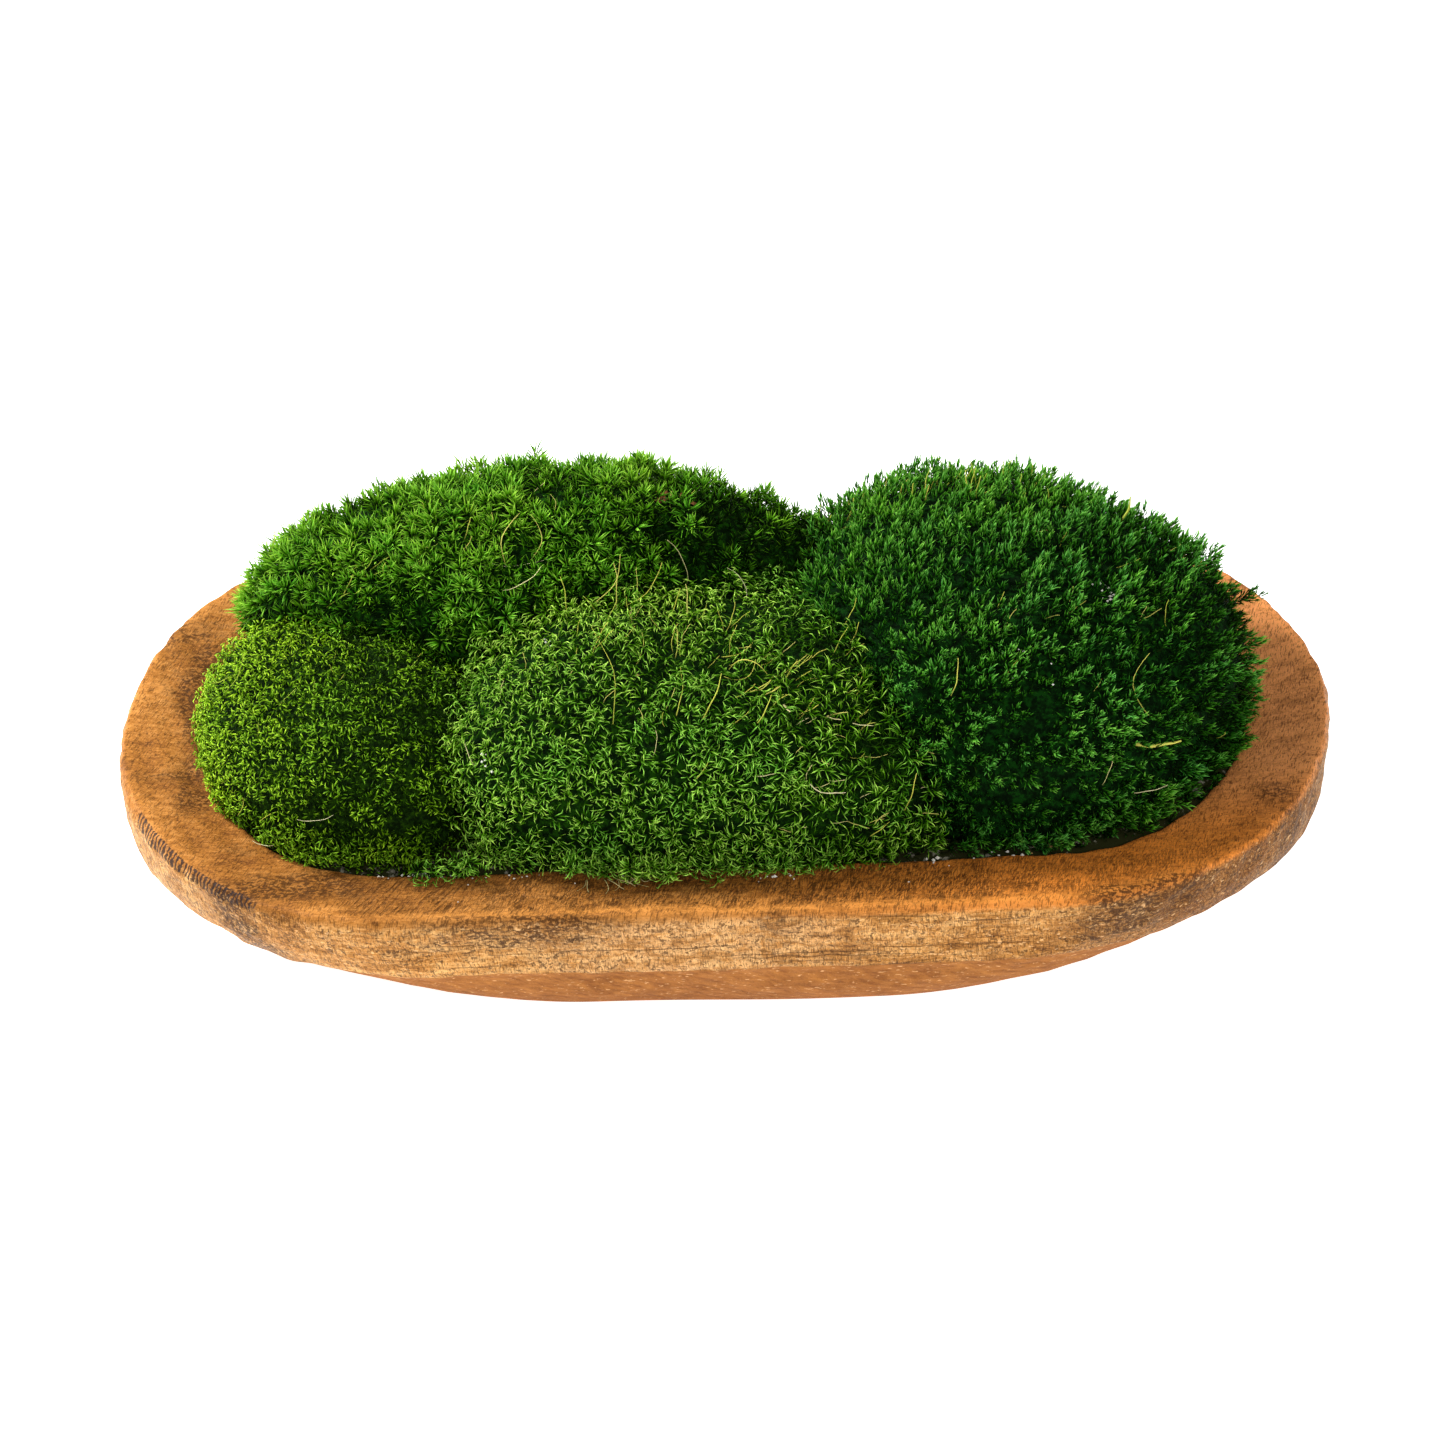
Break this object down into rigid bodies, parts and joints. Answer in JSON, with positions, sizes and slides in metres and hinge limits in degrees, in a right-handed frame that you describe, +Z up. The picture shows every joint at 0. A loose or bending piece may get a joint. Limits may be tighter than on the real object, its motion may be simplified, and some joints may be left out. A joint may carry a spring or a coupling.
{
  "type": "moss bowl garden",
  "caption": "Long carved wooden dough bowl filled with foam and planted with rounded clumps of preserved moss.",
  "frame": {"origin": "middle of the bowl's overall footprint, on the plane of its flat base", "axes": "+X along the bowl, towards its right-hand end seen from the front, -Y towards its front, +Z up"},
  "size_m": [0.4073, 0.2141, 0.1456],
  "materials": {
    "stained_wood": "satin",
    "dry_foam": "matte",
    "mid_green_moss": "matte",
    "yellow_green_moss": "matte",
    "bright_green_moss": "matte",
    "dark_green_moss": "matte"
  },
  "bodies": {
    "root": {"dough_bowl": "stained_wood", "foam_bed": "dry_foam", "moss_back_left": "mid_green_moss", "moss_front_left": "yellow_green_moss", "moss_front_centre": "bright_green_moss", "moss_back_right": "dark_green_moss"}
  },
  "joints": []
}
